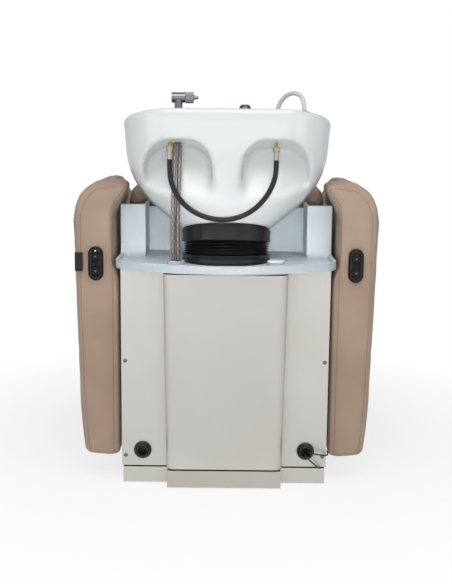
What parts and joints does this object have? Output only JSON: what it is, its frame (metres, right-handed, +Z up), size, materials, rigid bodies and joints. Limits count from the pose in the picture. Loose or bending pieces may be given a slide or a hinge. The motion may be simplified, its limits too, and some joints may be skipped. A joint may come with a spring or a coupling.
{
  "type": "salon backwash unit",
  "caption": "Salon backwash unit: tilting white basin on a rubber bellows over a steel cabinet and plastic tray, with a padded seat, leaning backrest, wide arms and a powered leg rest.",
  "frame": {"origin": "on the floor, under the middle of the bounding box", "axes": "+X to the right seen from the hairdresser's side, -Y towards the hairdresser, +Z up"},
  "size_m": [0.78, 1.175, 1.0265],
  "materials": {
    "satin_stainless": "satin brushed stainless sheet",
    "frame_steel": "satin black powder coat",
    "tray_plastic": "pale blue-grey moulded ABS, fine satin",
    "white_ceramic": "white glazed ceramic, glossy",
    "black_rubber": "matt black rubber",
    "leatherette": "beige-taupe leatherette with a fine grain",
    "plywood": "raw birch plywood",
    "chrome": "polished chrome plate",
    "dark_chrome": "dark chrome plate",
    "waste_plastic": "white moulded polypropylene",
    "drain_pvc": "grey flexible PVC",
    "grey_hose": "pale grey PVC hose",
    "braided_steel": "braided stainless wire",
    "brass": "plain turned brass",
    "bright_steel": "bright ground steel",
    "motor_alloy": "grey anodised aluminium",
    "black_gloss": "glossy black ABS",
    "button_plastic": "satin dark grey plastic",
    "black_cable": "black PVC sheath",
    "black_tape": "black woven tape"
  },
  "bodies": {
    "base": {"arm_left": "leatherette", "arm_right": "leatherette", "backrest_board": "plywood", "backrest_cushion": "leatherette", "bellows": "black_rubber", "centre_cover": "satin_stainless", "chair_brackets": "frame_steel", "cold_supply_hose": "braided_steel", "collar_cap": "tray_plastic", "cross_rails": "frame_steel", "drain_hose": "drain_pvc", "drain_spigot": "waste_plastic", "floor_tabs": "frame_steel", "front_posts": "frame_steel", "grommets": "black_rubber", "handset_left": "black_gloss", "handset_right": "black_gloss", "hinge_plates": "frame_steel", "hot_supply_hose": "braided_steel", "levelling_feet": "black_rubber", "lower_tilt_bracket": "frame_steel", "motor_bracket": "frame_steel", "panel_screws": "satin_stainless", "pivot_pins": "bright_steel", "plinth_centre": "satin_stainless", "posts": "frame_steel", "seat_board": "plywood", "seat_cushion": "leatherette", "seat_rails": "frame_steel", "service_leads": "black_cable", "side_panel_left": "satin_stainless", "side_panel_right": "satin_stainless", "side_plinths": "satin_stainless", "side_rails": "frame_steel", "side_tag": "black_tape", "tilt_plate": "frame_steel", "top_rails": "frame_steel", "tray": "tray_plastic"},
    "basin": {"basin": "white_ceramic", "upper_tilt_bracket": "frame_steel", "waste_body": "waste_plastic", "waste_strainer": "chrome", "neck_rest": "black_rubber", "mixer_body": "chrome", "spray_guide": "chrome", "spray_holder": "dark_chrome", "spray_hose": "grey_hose", "link_fittings": "brass", "link_hose": "black_rubber"},
    "mixer_knob": {"mixer_knob": "chrome"},
    "spray_head": {"spray_head": "dark_chrome"},
    "legrest": {"legrest_board": "plywood", "legrest_cushion": "leatherette", "legrest_ears": "frame_steel"},
    "actuator_body": {"actuator_body": "motor_alloy"},
    "actuator_rod": {"actuator_rod": "bright_steel"},
    "button_up_left": {"button_up_left": "button_plastic"},
    "button_down_left": {"button_down_left": "button_plastic"},
    "button_up_right": {"button_up_right": "button_plastic"},
    "button_down_right": {"button_down_right": "button_plastic"}
  },
  "joints": [
    {"name": "basin_tilt", "type": "hinge", "parent": "base", "child": "basin", "pos_m": [0, -0.4185, 0.65], "axis": [1, 0, 0], "range_deg": [0, 14], "deforming": ["bellows", "hot_supply_hose", "cold_supply_hose", "drain_hose"]},
    {"name": "mixer_turn", "type": "hinge", "parent": "basin", "child": "mixer_knob", "pos_m": [-0.0935, -0.48615, 1.00697], "axis": [1, 0, 0], "range_deg": [-45, 45]},
    {"name": "spray_lift", "type": "slide", "parent": "basin", "child": "spray_head", "axis": [0, 0.2419, 0.9703], "range_m": [0, 0.08], "deforming": ["spray_hose"]},
    {"name": "legrest_lift", "type": "hinge", "parent": "base", "child": "legrest", "pos_m": [0, 0.512, 0.325], "axis": [1, 0, 0], "range_deg": [0, 80]},
    {"name": "actuator_swing", "type": "hinge", "parent": "base", "child": "actuator_body", "pos_m": [0, 0.2275, 0.12], "axis": [1, 0, 0], "range_deg": [-5, 5]},
    {"name": "actuator_extend", "type": "slide", "parent": "actuator_body", "child": "actuator_rod", "axis": [0, 0.8637, 0.504], "range_m": [0, 0.075]},
    {"name": "press_up_left", "type": "slide", "parent": "base", "child": "button_up_left", "axis": [0, 1, 0], "range_m": [0, 0.0015], "stiffness_N_per_m": 900},
    {"name": "press_down_left", "type": "slide", "parent": "base", "child": "button_down_left", "axis": [0, 1, 0], "range_m": [0, 0.0015], "stiffness_N_per_m": 900},
    {"name": "press_up_right", "type": "slide", "parent": "base", "child": "button_up_right", "axis": [0, 1, 0], "range_m": [0, 0.0015], "stiffness_N_per_m": 900},
    {"name": "press_down_right", "type": "slide", "parent": "base", "child": "button_down_right", "axis": [0, 1, 0], "range_m": [0, 0.0015], "stiffness_N_per_m": 900}
  ],
  "couplings": [
    {"joint": "actuator_swing", "follows": "legrest_lift", "ratio": -0.03614},
    {"joint": "actuator_extend", "follows": "legrest_lift", "m_per_rad": 0.05217}
  ]
}
